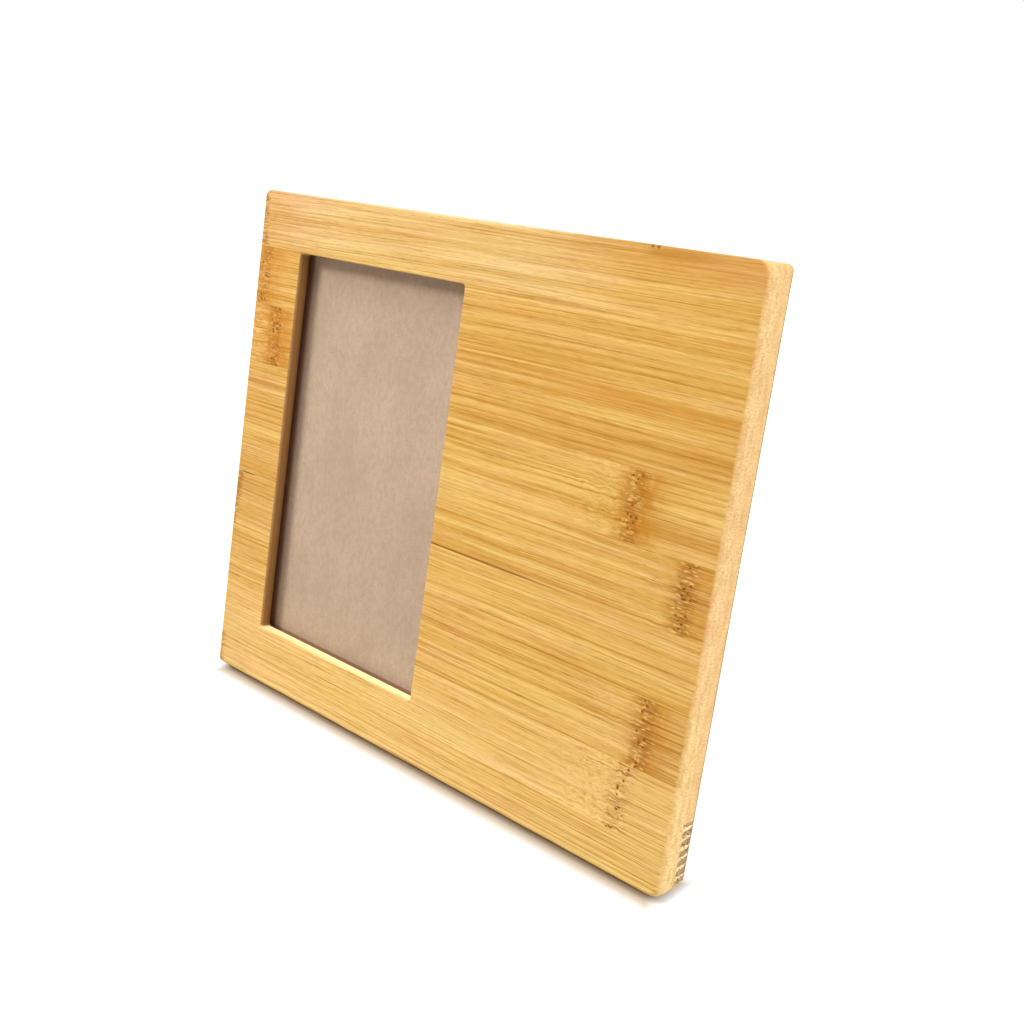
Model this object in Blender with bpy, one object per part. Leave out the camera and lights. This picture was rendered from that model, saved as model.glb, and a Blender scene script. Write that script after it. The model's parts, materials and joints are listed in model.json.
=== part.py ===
"""Table-top picture frame: a laminated bamboo board with a window on its left and a folding leg behind.

Metres, +Z up, the front faces -Y. Every piece is modelled in the board's own frame, with X to the
right, Y from the front face to the back and Z up the board from its lower edge. That frame then
leans back, so that the board stands on its lower rear edge and on the foot of the leg.
"""

import math

import bmesh
import bpy
from mathutils import Vector

# Gaps that the pieces keep
SEAT_GAP = 0.0003
SIDE_GAP = 0.0004
RUNNING_GAP = 0.0001
SCREW_GAP = 0.00015

# Board: the window's size and the wood that is left around it, seen from the front
WINDOW_WIDTH = 0.0769
WINDOW_HEIGHT = 0.127
LEFT_STILE = 0.0222
RIGHT_FIELD = 0.1009
TOP_RAIL = 0.0186
BOTTOM_RAIL = 0.0194
BOARD_THICKNESS = 0.010
BOARD_CORNER = 0.0025
FRONT_ROUND = 0.0015
BACK_EASE = 0.0008
WINDOW_CORNER = 0.0012
WINDOW_EASE = 0.0004

# Rebate behind the window, and what lies in it: a print of 4 x 6 inches fits on the ledge
LEDGE = 0.0132
REBATE_CORNER = 0.003
GLAZING_THICKNESS = 0.002
PRINT_GAP = 0.0003
PANEL_THICKNESS = 0.0032
PANEL_RECESS = 0.0004

# Turn buttons that hold the panel in
BUTTON_THICKNESS = 0.0009
BUTTON_HUB_RADIUS = 0.004
BUTTON_TIP_RADIUS = 0.0026
BUTTON_GRIP = 0.0105
BUTTON_FINGER_LENGTH = 0.0045
BUTTON_FINGER_LIFT = 0.0014
BUTTON_INSET = 0.036

# Wood screws
SHANK_RADIUS = 0.0012
HEAD_RADIUS = 0.0024
PAN_HEAD_HEIGHT = 0.0015
PAN_HEAD_CROWN = math.radians(60)
RECESS_ARM = 0.0014
RECESS_WIDTH = 0.0006
RECESS_DEPTH = 0.0008
WOOD_UNDER_TIP = 0.0016

# Leg and its hinge
LEAN = math.radians(11.6)
LEG_OPENING = math.radians(22)
HINGE_HEIGHT = 0.120
LEAF_WIDTH = 0.024
LEAF_HEIGHT = 0.017
LEAF_THICKNESS = 0.0009
LEAF_CORNER = 0.002
LEAF_SCREW_SPACING = 0.014
LEAF_SCREW_OFFSET = 0.0125
PIN_RADIUS = 0.00075
PIN_DOME = 0.0004
CURL_SWEEP = math.radians(285)
LEG_THICKNESS = 0.006
LEG_TOP_WIDTH = 0.026
LEG_FOOT_WIDTH = 0.032
LEG_NOSE = 0.008
LEG_ROUND = 0.0008
LEG_SIDE_ROOM = 0.0025

# Facets
CORNER_STEPS = 6
ROUND_STEPS = 3
SCREW_SIDES = 16
BARREL_SIDES = 24
SMOOTH_ANGLE = math.radians(40)

# What follows from the sizes above
BOARD_WIDTH = LEFT_STILE + WINDOW_WIDTH + RIGHT_FIELD
BOARD_HEIGHT = BOTTOM_RAIL + WINDOW_HEIGHT + TOP_RAIL
BOARD_MIDDLE = (0.0, BOARD_HEIGHT / 2)
WINDOW_MIDDLE = (LEFT_STILE + WINDOW_WIDTH / 2 - BOARD_WIDTH / 2, BOTTOM_RAIL + WINDOW_HEIGHT / 2)
REBATE_WIDTH = WINDOW_WIDTH + 2 * LEDGE
REBATE_HEIGHT = WINDOW_HEIGHT + 2 * LEDGE
REBATE_DEPTH = SEAT_GAP + GLAZING_THICKNESS + PRINT_GAP + PANEL_THICKNESS + PANEL_RECESS
LIP = BOARD_THICKNESS - REBATE_DEPTH
BACK_SEAT = BOARD_THICKNESS + SEAT_GAP

BUTTON_SETBACK = (LEFT_STILE - LEDGE) / 2
BUTTON_LENGTH = BUTTON_SETBACK + BUTTON_GRIP
BUTTON_X = REBATE_WIDTH / 2 + BUTTON_SETBACK
BUTTON_Z = REBATE_HEIGHT / 2 - BUTTON_INSET

BARREL_BORE = PIN_RADIUS + RUNNING_GAP
BARREL_RADIUS = BARREL_BORE + LEAF_THICKNESS
KNUCKLE_ROOM = BARREL_RADIUS + SEAT_GAP
PIVOT_DEPTH = BACK_SEAT + BARREL_RADIUS
LEG_INNER = SEAT_GAP - BARREL_BORE
LEG_OUTER = LEG_INNER + LEG_THICKNESS
LEG_X = WINDOW_MIDDLE[0] + BUTTON_X + BUTTON_LENGTH + LEG_SIDE_ROOM + LEG_FOOT_WIDTH / 2

# The floor, measured down from the board's lower front corner, and the leg's angle to the vertical
FLOOR_DROP = (BOARD_THICKNESS - BACK_EASE) * math.sin(LEAN) + BACK_EASE * (1 - math.cos(LEAN))
PIVOT_RISE = HINGE_HEIGHT * math.cos(LEAN) - PIVOT_DEPTH * math.sin(LEAN) + FLOOR_DROP
LEG_SLANT = LEG_OPENING - LEAN


# Modelling helpers

def arc(steps, start=0.0, end=math.pi / 2):
    """Angles from start to end in equal steps, both ends included."""
    return [start + (end - start) * i / steps for i in range(steps + 1)]


def rounded_ring(size, radius, depth, middle):
    """Points of a rounded rectangle that lies across the board at one depth."""
    half_x, half_z = size[0] / 2 - radius, size[1] / 2 - radius
    corners = ((half_x, half_z), (-half_x, half_z), (-half_x, -half_z), (half_x, -half_z))
    points = []
    for quarter, (x, z) in enumerate(corners):
        for angle in arc(CORNER_STEPS, quarter * math.pi / 2, (quarter + 1) * math.pi / 2):
            along = x + radius * math.cos(angle)
            up = z + radius * math.sin(angle)
            points.append(Vector((middle[0] + along, depth, middle[1] + up)))
    return points


def circle_ring(radius, depth, sides):
    """Points of a circle round the Y axis."""
    turns = [2 * math.pi * i / sides for i in range(sides)]
    return [Vector((radius * math.cos(a), depth, radius * math.sin(a))) for a in turns]


def new_object(name, bm):
    """A scene object from a finished bmesh, with its faces pointing out."""
    bmesh.ops.recalc_face_normals(bm, faces=bm.faces)
    mesh = bpy.data.meshes.new(name)
    bm.to_mesh(mesh)
    bm.free()
    obj = bpy.data.objects.new(name, mesh)
    bpy.context.scene.collection.objects.link(obj)
    return obj


def loft(name, rings, closed=False):
    """A solid skinned over rings of equal count; closed joins the last ring to the first."""
    bm = bmesh.new()
    loops = [[bm.verts.new(point) for point in ring] for ring in rings]
    pairs = list(zip(loops, loops[1:]))
    if closed:
        pairs.append((loops[-1], loops[0]))
    else:
        bm.faces.new(loops[0])
        bm.faces.new(loops[-1])
    for first, second in pairs:
        for i in range(len(first)):
            bm.faces.new((first[i - 1], first[i], second[i], second[i - 1]))
    return new_object(name, bm)


def plate(name, outline, low, high):
    """A flat plate: an outline in X and Z between two depths."""
    return loft(name, [[Vector((x, depth, z)) for x, z in outline] for depth in (low, high)])


def turned(name, profile, sides=SCREW_SIDES):
    """A solid of revolution round Y from (radius, depth) pairs."""
    return loft(name, [circle_ring(radius, depth, sides) for radius, depth in profile])


def cut(target, tool):
    """Takes the tool's volume out of the target and deletes the tool."""
    modifier = target.modifiers.new("cut", "BOOLEAN")
    modifier.operation = "DIFFERENCE"
    modifier.solver = "EXACT"
    modifier.object = tool
    graph = bpy.context.evaluated_depsgraph_get()
    mesh = bpy.data.meshes.new_from_object(target.evaluated_get(graph))
    target.modifiers.clear()
    target.data = mesh
    bpy.data.objects.remove(tool)


def round_edges(piece, chosen, radius, steps):
    """Rounds the edges whose two ends both pass the test."""
    bm = bmesh.new()
    bm.from_mesh(piece.data)
    edges = [edge for edge in bm.edges if all(chosen(vertex.co) for vertex in edge.verts)]
    bmesh.ops.bevel(bm, geom=edges, offset=radius, segments=steps, profile=0.5, affect="EDGES")
    bm.to_mesh(piece.data)
    bm.free()


def moved(tool, offset):
    """Moves a cutting tool's points, so that it cuts with its object still at the origin."""
    for vertex in tool.data.vertices:
        vertex.co += Vector(offset)
    return tool


def material(name, colour, roughness, metallic=0.0, alpha=1.0):
    made = bpy.data.materials.new(name)
    made.use_nodes = True
    shader = made.node_tree.nodes["Principled BSDF"]
    shader.inputs["Base Color"].default_value = (*colour, 1.0)
    shader.inputs["Roughness"].default_value = roughness
    shader.inputs["Metallic"].default_value = metallic
    shader.inputs["Alpha"].default_value = alpha
    return made


def place(obj, parent, location=(0, 0, 0), finish=None, smooth_angle=None):
    """Hangs a piece on its parent, with its material and, on round pieces, smooth shading."""
    obj.parent = parent
    obj.location = location
    if finish:
        obj.data.materials.clear()
        obj.data.materials.append(finish)
    if smooth_angle:
        obj.data.shade_smooth()
        obj.data.set_sharp_from_angle(angle=smooth_angle)
    return obj


def empty(name, parent=None, location=(0, 0, 0), tilt=0.0):
    obj = bpy.data.objects.new(name, None)
    bpy.context.scene.collection.objects.link(obj)
    obj.parent = parent
    obj.location = location
    obj.rotation_euler.x = tilt
    return obj


# Screws: the head's seat is at Y = 0 or its top is, and the tip points to -Y

def tip_profile(length, grow):
    """Shank and point, up to the tip at depth -length."""
    return [
        (SHANK_RADIUS + grow, -length + 2 * SHANK_RADIUS),
        (SHANK_RADIUS / 4 + grow, -length - grow),
    ]


def flat_head_profile(length, grow=0.0):
    """Countersunk screw that is flush at Y = 0, or the larger tool for its hole."""
    head = [(HEAD_RADIUS + grow, 0), (SHANK_RADIUS + grow, SHANK_RADIUS - HEAD_RADIUS)]
    return head + tip_profile(length, grow)


def pan_head_profile(length):
    """Domed head above Y = 0 with the shank below it."""
    dome = []
    for angle in arc(ROUND_STEPS, PAN_HEAD_CROWN, 0.0):
        height = PAN_HEAD_HEIGHT * math.sin(angle) / math.sin(PAN_HEAD_CROWN)
        dome.append((HEAD_RADIUS * math.cos(angle), height))
    return dome + [(SHANK_RADIUS, 0)] + tip_profile(length, 0.0)


def flat_head_tool(length):
    """Cuts the countersunk hole for a flat head screw."""
    rim = [(HEAD_RADIUS + SCREW_GAP, SCREW_GAP)]
    return turned("flat_head_tool", rim + flat_head_profile(length, SCREW_GAP))


def shank_tool(length):
    """Cuts the hole that a pan head screw's shank goes into."""
    rim = [(SHANK_RADIUS + SCREW_GAP, SEAT_GAP)]
    return turned("shank_tool", rim + tip_profile(length, SCREW_GAP))


def cut_cross_recess(screw, top):
    """Two crossed slots in the head for the driver."""
    for size_x, size_z in ((RECESS_ARM, RECESS_WIDTH / 2), (RECESS_WIDTH / 2, RECESS_ARM)):
        outline = [(size_x, size_z), (-size_x, size_z), (-size_x, -size_z), (size_x, -size_z)]
        cut(screw, plate("slot", outline, top - RECESS_DEPTH, top + RECESS_DEPTH))


def flat_head_screw(name, length):
    screw = turned(name, flat_head_profile(length))
    cut_cross_recess(screw, 0.0)
    return screw


def pan_head_screw(name, length):
    screw = turned(name, pan_head_profile(length))
    cut_cross_recess(screw, PAN_HEAD_HEIGHT)
    return screw


# Board, glazing and panel

def face_board():
    """Outer edge from front to back, rebate and window from back to front, skinned as one ring."""
    def outer(inset, depth):
        size = (BOARD_WIDTH - 2 * inset, BOARD_HEIGHT - 2 * inset)
        return rounded_ring(size, max(BOARD_CORNER - inset, BACK_EASE / 4), depth, BOARD_MIDDLE)

    def window(outset, depth):
        size = (WINDOW_WIDTH + 2 * outset, WINDOW_HEIGHT + 2 * outset)
        return rounded_ring(size, WINDOW_CORNER + outset, depth, WINDOW_MIDDLE)

    def rebate(depth):
        return rounded_ring((REBATE_WIDTH, REBATE_HEIGHT), REBATE_CORNER, depth, WINDOW_MIDDLE)

    rings = []
    for angle in arc(ROUND_STEPS):
        rings.append(outer(FRONT_ROUND * (1 - math.sin(angle)), FRONT_ROUND * (1 - math.cos(angle))))
    for angle in arc(ROUND_STEPS):
        depth = BOARD_THICKNESS - BACK_EASE * (1 - math.sin(angle))
        rings.append(outer(BACK_EASE * (1 - math.cos(angle)), depth))
    rings += [rebate(BOARD_THICKNESS), rebate(LIP), window(0.0, LIP)]
    for angle in arc(ROUND_STEPS):
        rings.append(window(WINDOW_EASE * (1 - math.cos(angle)), WINDOW_EASE * (1 - math.sin(angle))))
    return loft("face_board", rings, closed=True)


def rebate_sheet(name, front, thickness):
    """A sheet that lies in the rebate, with its front at the given depth."""
    size = (REBATE_WIDTH - 2 * SIDE_GAP, REBATE_HEIGHT - 2 * SIDE_GAP)
    depths = (front, front + thickness)
    return loft(name, [rounded_ring(size, REBATE_CORNER, depth, WINDOW_MIDDLE) for depth in depths])


# Turn buttons

def turn_button(name):
    """Stamped button that points along +X from its screw, with its finger end bent up."""
    reach = BUTTON_LENGTH - BUTTON_TIP_RADIUS
    tangent = math.acos((BUTTON_HUB_RADIUS - BUTTON_TIP_RADIUS) / reach)
    outline = []
    for angle in arc(BARREL_SIDES // 2, tangent, 2 * math.pi - tangent):
        outline.append((BUTTON_HUB_RADIUS * math.cos(angle), BUTTON_HUB_RADIUS * math.sin(angle)))
    for angle in arc(BARREL_SIDES // 3, -tangent, tangent):
        outline.append((reach + BUTTON_TIP_RADIUS * math.cos(angle), BUTTON_TIP_RADIUS * math.sin(angle)))
    button = plate(name, outline, 0.0, BUTTON_THICKNESS)
    bend = BUTTON_LENGTH - BUTTON_FINGER_LENGTH
    bm = bmesh.new()
    bm.from_mesh(button.data)
    everything = bm.verts[:] + bm.edges[:] + bm.faces[:]
    bmesh.ops.bisect_plane(bm, geom=everything, plane_co=(bend, 0, 0), plane_no=(1, 0, 0))
    for vertex in bm.verts:
        vertex.co.y += BUTTON_FINGER_LIFT * max(0.0, vertex.co.x - bend) / BUTTON_FINGER_LENGTH
    bm.to_mesh(button.data)
    bm.free()
    hole = [(SHANK_RADIUS + SCREW_GAP, depth) for depth in (-BUTTON_THICKNESS, 2 * BUTTON_THICKNESS)]
    cut(button, turned("hole", hole))
    return button


# Hinge: profiles lie across the pin, as (depth, height) from its axis

def hinge_leaf(name, knuckles):
    """A leaf that lies above the pin and is curled round it in the given thirds of its width."""
    curl = [(-BARREL_RADIUS, KNUCKLE_ROOM)]
    steps = arc(BARREL_SIDES * 3 // 4, 0.0, CURL_SWEEP)
    curl += [(-BARREL_RADIUS * math.cos(a), -BARREL_RADIUS * math.sin(a)) for a in steps]
    curl += [(-BARREL_BORE * math.cos(a), -BARREL_BORE * math.sin(a)) for a in reversed(steps)]
    curl.append((-BARREL_BORE, KNUCKLE_ROOM))
    flat = [
        (-BARREL_RADIUS, LEAF_HEIGHT),
        (-BARREL_RADIUS, KNUCKLE_ROOM),
        (-BARREL_BORE, KNUCKLE_ROOM),
        (-BARREL_BORE, LEAF_HEIGHT),
    ]
    third = LEAF_WIDTH / 3
    breaks = [-LEAF_WIDTH / 2]
    for edge in (-third / 2, third / 2):
        breaks += [edge - RUNNING_GAP, edge + RUNNING_GAP]
    breaks.append(LEAF_WIDTH / 2)
    curled = [2 * knuckle for knuckle in knuckles]
    filled = [{0, 1} if slab in curled else {1} for slab in range(len(breaks) - 1)]
    leaf = stacked(name, (curl, flat), breaks, filled)

    def free_corner(point):
        at_side = abs(abs(point.x) - LEAF_WIDTH / 2) < RUNNING_GAP
        return at_side and abs(point.z - LEAF_HEIGHT) < RUNNING_GAP

    round_edges(leaf, free_corner, LEAF_CORNER, CORNER_STEPS)
    return leaf


def stacked(name, cells, breaks, filled):
    """Slabs side by side along X, each holding some of the flat cells; cells share their edges."""
    bm = bmesh.new()
    corners = {}

    def corner(point, x):
        key = (point, x)
        if key not in corners:
            corners[key] = bm.verts.new((x, *point))
        return corners[key]

    for slab, held in enumerate(filled):
        low, high = breaks[slab], breaks[slab + 1]
        sides = [(a, b) for cell in held for a, b in zip(cells[cell], cells[cell][1:] + cells[cell][:1])]
        for a, b in sides:
            if (b, a) not in sides:
                bm.faces.new((corner(a, low), corner(b, low), corner(b, high), corner(a, high)))
        before = filled[slab - 1] if slab else set()
        after = filled[slab + 1] if slab + 1 < len(filled) else set()
        for cell in held - before:
            bm.faces.new([corner(point, low) for point in cells[cell]])
        for cell in held - after:
            bm.faces.new([corner(point, high) for point in cells[cell]])
    return new_object(name, bm)


def hinge_pin():
    """Pin with its ends peened to low domes just outside the knuckles."""
    half = LEAF_WIDTH / 2
    profile = [(PIN_RADIUS / 2, -half - PIN_DOME), (PIN_RADIUS, -half)]
    profile += [(radius, -depth) for radius, depth in reversed(profile)]
    pin = turned("hinge_pin", profile, BARREL_SIDES)
    pin.rotation_euler.z = math.pi / 2
    return pin


def screw_places(side):
    """Where the leaf's screws go, from the pin, above it (+1) or below it (-1)."""
    return [(x * LEAF_SCREW_SPACING / 2, side * LEAF_SCREW_OFFSET) for x in (-1, 1)]


# Leg: its side view is drawn folded flat, as (depth from the pin, distance down from it)

def leg():
    """Tapered leg, notched round the barrel, with a bevelled nose that stops it when it is open."""
    notch = KNUCKLE_ROOM + RUNNING_GAP
    stop = BARREL_BORE - SEAT_GAP
    cosine, sine = math.cos(LEG_OPENING), math.sin(LEG_OPENING)

    def on_bevel(run):
        return (-stop * cosine + run * sine, -stop * sine - run * cosine)

    def foot(depth):
        return (depth, (PIVOT_RISE + depth * math.sin(LEG_SLANT)) / math.cos(LEG_SLANT))

    bevel_start = on_bevel(math.sqrt(notch**2 - stop**2))
    bevel_end = on_bevel((LEG_NOSE - stop * sine) / cosine)
    notch_end = (LEG_INNER, math.sqrt(notch**2 - LEG_INNER**2))
    turn = arc(
        BARREL_SIDES // 2,
        math.atan2(bevel_start[1], bevel_start[0]),
        math.atan2(notch_end[1], notch_end[0]),
    )
    side = [(notch * math.cos(a), notch * math.sin(a)) for a in turn]
    side += [foot(LEG_INNER), foot(LEG_OUTER), (LEG_OUTER, -LEG_NOSE), bevel_end]

    longest = foot(LEG_OUTER)[1]

    def half_width(down):
        share = (down + LEG_NOSE) / (longest + LEG_NOSE)
        return (LEG_TOP_WIDTH + (LEG_FOOT_WIDTH - LEG_TOP_WIDTH) * share) / 2

    rings = [[Vector((s * half_width(down), depth, -down)) for depth, down in side] for s in (-1, 1)]
    piece = loft("leg", rings)
    round_edges(piece, lambda point: abs(point.y - LEG_OUTER) < RUNNING_GAP, LEG_ROUND, ROUND_STEPS)
    return piece


# Assembly

def clear_scene():
    for obj in list(bpy.data.objects):
        bpy.data.objects.remove(obj)


def add_back_fixings(board, root, steel):
    """Turn buttons and their screws, two on each long side of the rebate."""
    length = BOARD_THICKNESS + 2 * SEAT_GAP + BUTTON_THICKNESS - WOOD_UNDER_TIP
    seat = BACK_SEAT + BUTTON_THICKNESS + SEAT_GAP
    for side, across in (("left", -1), ("right", 1)):
        for level, up in (("lower", -1), ("upper", 1)):
            x = WINDOW_MIDDLE[0] + across * BUTTON_X
            z = WINDOW_MIDDLE[1] + up * BUTTON_Z
            cut(board, moved(shank_tool(length), (x, seat, z)))
            button = place(turn_button(f"turn_button_{side}_{level}"), root, (x, BACK_SEAT, z), steel)
            button.rotation_euler.y = math.pi if across > 0 else 0.0
            screw = pan_head_screw(f"button_screw_{side}_{level}", length)
            place(screw, root, (x, seat, z), steel, SMOOTH_ANGLE)


def add_leg(board, root, bamboo, steel):
    """Hinge, screws and leg; the leg hangs on an empty that lies on the pin's axis."""
    pivot = Vector((LEG_X, PIVOT_DEPTH, HINGE_HEIGHT))
    hinge_axis = empty("leg_axis", root, pivot, LEG_OPENING)
    board_leaf = hinge_leaf("hinge_board_leaf", (0, 2))
    leg_leaf = hinge_leaf("hinge_leg_leaf", (1,))
    for vertex in leg_leaf.data.vertices:
        vertex.co.z = -vertex.co.z
    leg_leaf.data.flip_normals()
    wooden_leg = leg()

    face = -BARREL_BORE
    board_length = LEAF_THICKNESS + SEAT_GAP + BOARD_THICKNESS - WOOD_UNDER_TIP
    for hand, (x, z) in zip(("left", "right"), screw_places(1)):
        for target, shift in ((board_leaf, Vector()), (board, pivot)):
            cut(target, moved(flat_head_tool(board_length), shift + Vector((x, face, z))))
        screw = flat_head_screw(f"hinge_board_screw_{hand}", board_length)
        place(screw, root, pivot + Vector((x, face, z)), steel, SMOOTH_ANGLE)

    face = -BARREL_RADIUS
    leg_length = LEAF_THICKNESS + SEAT_GAP + LEG_THICKNESS - WOOD_UNDER_TIP
    for hand, (x, z) in zip(("left", "right"), screw_places(-1)):
        for target in (leg_leaf, wooden_leg):
            tool = flat_head_tool(leg_length)
            for vertex in tool.data.vertices:
                vertex.co.yz = -vertex.co.yz
            cut(target, moved(tool, (x, face, z)))
        screw = flat_head_screw(f"hinge_leg_screw_{hand}", leg_length)
        place(screw, hinge_axis, (x, face, z), steel, SMOOTH_ANGLE)
        screw.rotation_euler.x = math.pi

    place(board_leaf, root, pivot, steel, SMOOTH_ANGLE)
    place(hinge_pin(), root, pivot, steel, SMOOTH_ANGLE)
    place(leg_leaf, hinge_axis, (0, 0, 0), steel, SMOOTH_ANGLE)
    place(wooden_leg, hinge_axis, (0, 0, 0), bamboo, SMOOTH_ANGLE)


def stand_on_floor(root):
    """Moves the whole frame so that the origin is the middle of its footprint, on the floor."""
    bpy.context.view_layer.update()
    meshes = [obj for obj in bpy.data.objects if obj.type == "MESH"]
    points = [obj.matrix_world @ vertex.co for obj in meshes for vertex in obj.data.vertices]
    low = Vector([min(point[i] for point in points) for i in range(3)])
    high = Vector([max(point[i] for point in points) for i in range(3)])
    root.location -= Vector(((low.x + high.x) / 2, (low.y + high.y) / 2, low.z))


def main():
    clear_scene()
    bamboo = material("bamboo", (0.79, 0.52, 0.20), 0.45)
    acrylic = material("clear_acrylic", (0.95, 0.97, 0.97), 0.05, alpha=0.2)
    hardboard = material("hardboard", (0.47, 0.36, 0.27), 0.8)
    steel = material("nickel_plated_steel", (0.70, 0.69, 0.66), 0.3, metallic=1.0)

    root = empty("board_frame", tilt=-LEAN)
    board = face_board()
    glazing_front = LIP + SEAT_GAP
    panel_front = glazing_front + GLAZING_THICKNESS + PRINT_GAP
    place(rebate_sheet("glazing", glazing_front, GLAZING_THICKNESS), root, finish=acrylic)
    place(rebate_sheet("back_panel", panel_front, PANEL_THICKNESS), root, finish=hardboard)
    add_back_fixings(board, root, steel)
    add_leg(board, root, bamboo, steel)
    place(board, root, finish=bamboo, smooth_angle=SMOOTH_ANGLE)
    stand_on_floor(root)


main()
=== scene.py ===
"""A bamboo table-top picture frame on a white table, seen from its right.

Metres, +Z up, the front faces -Y. The board's own axes are X to the right, depth from the front
face to the back and height up the board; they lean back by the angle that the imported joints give.
"""

import json
import math

import bmesh
import bpy
from mathutils import Matrix, Vector, noise

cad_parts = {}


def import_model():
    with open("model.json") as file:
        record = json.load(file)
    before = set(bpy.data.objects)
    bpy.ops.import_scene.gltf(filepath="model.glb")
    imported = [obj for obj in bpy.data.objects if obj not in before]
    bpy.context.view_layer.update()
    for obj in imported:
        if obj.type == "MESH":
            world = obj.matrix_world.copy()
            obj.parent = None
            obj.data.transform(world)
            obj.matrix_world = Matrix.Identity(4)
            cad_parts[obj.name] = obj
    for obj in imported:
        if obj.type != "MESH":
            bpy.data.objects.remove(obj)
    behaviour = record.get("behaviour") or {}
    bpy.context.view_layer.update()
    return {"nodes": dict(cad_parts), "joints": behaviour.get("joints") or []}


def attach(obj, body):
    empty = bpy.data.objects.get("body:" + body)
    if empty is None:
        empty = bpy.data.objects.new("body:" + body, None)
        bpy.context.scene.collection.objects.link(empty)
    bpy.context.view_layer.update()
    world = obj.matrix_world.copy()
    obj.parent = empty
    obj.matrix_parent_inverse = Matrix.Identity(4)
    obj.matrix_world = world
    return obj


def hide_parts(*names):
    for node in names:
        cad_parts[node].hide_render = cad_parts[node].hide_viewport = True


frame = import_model()

# Camera, at the photograph's place
CAMERA_PLACE = Vector((0.27690, -0.26648, 0.21722))
CAMERA_TARGET = Vector((0.02974, -0.01413, 0.08779))
CAMERA_LENS = 47.28
CAMERA_SENSOR = 36.0

# Board: the window's size and the wood around it
WINDOW_WIDTH = 0.0769
WINDOW_HEIGHT = 0.127
LEFT_STILE = 0.0222
RIGHT_FIELD = 0.1009
TOP_RAIL = 0.0186
BOTTOM_RAIL = 0.0194
BOARD_THICKNESS = 0.010
# Corner radii at the front and at the back, from the upper right corner round to the lower right
FRONT_CORNERS = (0.0045, 0.0030, 0.0018, 0.0036)
BACK_CORNERS = (0.0020, 0.0026, 0.0015, 0.0050)
FRONT_ROUND = 0.0013
BACK_EASE = 0.0008
WINDOW_CORNER = 0.0012
WINDOW_EASE = 0.0004
LEDGE = 0.0132
REBATE_CORNER = 0.003
LIP = 0.0038
BOARD_WIDTH = LEFT_STILE + WINDOW_WIDTH + RIGHT_FIELD
BOARD_HEIGHT = BOTTOM_RAIL + WINDOW_HEIGHT + TOP_RAIL
BOARD_MIDDLE = Vector((0.0, BOARD_HEIGHT / 2))
WINDOW_LEFT = LEFT_STILE - BOARD_WIDTH / 2
WINDOW_MIDDLE = Vector((WINDOW_LEFT + WINDOW_WIDTH / 2, BOTTOM_RAIL + WINDOW_HEIGHT / 2))
CORNER_STEPS = 12
SIDE_STEPS = 72
ROUND_STEPS = 6
# How far the edges of the other pieces are broken
LEG_EDGE = 0.00035
METAL_EDGE = 0.00012

# Where the board's axes lie: the hinge's pin is at a known place on the board
HINGE_HEIGHT = 0.120
PIN_BEHIND_BOARD = 0.00205
PIN_DEPTH = BOARD_THICKNESS + PIN_BEHIND_BOARD
JOINTS = {joint["name"]: joint for joint in frame["joints"]}
BACKWARDS = Vector(JOINTS["turn_left_lower"]["axis"])
LEAN = math.atan2(-BACKWARDS.z, BACKWARDS.y)
PIN = Vector(JOINTS["leg_fold"]["pos_m"])
TILT = Matrix.Rotation(-LEAN, 4, "X")
BOARD_ORIGIN = PIN - TILT @ Vector((PIN.x, PIN_DEPTH, HINGE_HEIGHT))
BOARD_AXES = Matrix.Translation(BOARD_ORIGIN) @ TILT
BOARD_LEFT = Matrix.Translation((-BOARD_WIDTH / 2, 0, 0))

# The leg's axes: down the leg, through its thickness and across it
LEG_OPEN = math.radians(22)
LEG_BEHIND_PIN = 0.004
LEG_SLANT = LEG_OPEN - LEAN
LEG_DOWN = Vector((0, math.sin(LEG_SLANT), -math.cos(LEG_SLANT)))
LEG_OUT = Vector((0, math.cos(LEG_SLANT), math.sin(LEG_SLANT)))
LEG_TURN = Matrix((LEG_DOWN, LEG_OUT, (1, 0, 0))).transposed().to_4x4()
LEG_AXES = Matrix.Translation(PIN + LEG_OUT * LEG_BEHIND_PIN) @ LEG_TURN

# Bamboo: strips of the culm's wall laid edge to edge in two plies, in millimetres
MM = 0.001
STRIP_WIDTH = 19.17
FIRST_JOINT = 12.5
PLY = 5.0
# The back ply's strips are set over by a share of a strip and are numbered on from here
BACK_PLY_SHIFT = 0.43
BACK_PLY_NUMBERS = 40.0
# Where the node of a strip without one is put, and how far the back ply's nodes are pushed away
NO_NODE = -90.0
OUT_OF_SIGHT = 400.0


# Shader graphs that read as formulas

class Field:
    """One output socket in a material's graph, which takes part in arithmetic."""

    def __init__(self, graph, socket):
        self.graph = graph
        self.socket = socket

    def __add__(self, other):
        return self.graph.math("ADD", self, other)

    def __radd__(self, other):
        return self.graph.math("ADD", other, self)

    def __sub__(self, other):
        return self.graph.math("SUBTRACT", self, other)

    def __rsub__(self, other):
        return self.graph.math("SUBTRACT", other, self)

    def __mul__(self, other):
        return self.graph.math("MULTIPLY", self, other)

    def __truediv__(self, other):
        return self.graph.math("DIVIDE", self, other)

    def __neg__(self):
        return self.graph.math("MULTIPLY", self, -1.0)


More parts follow.
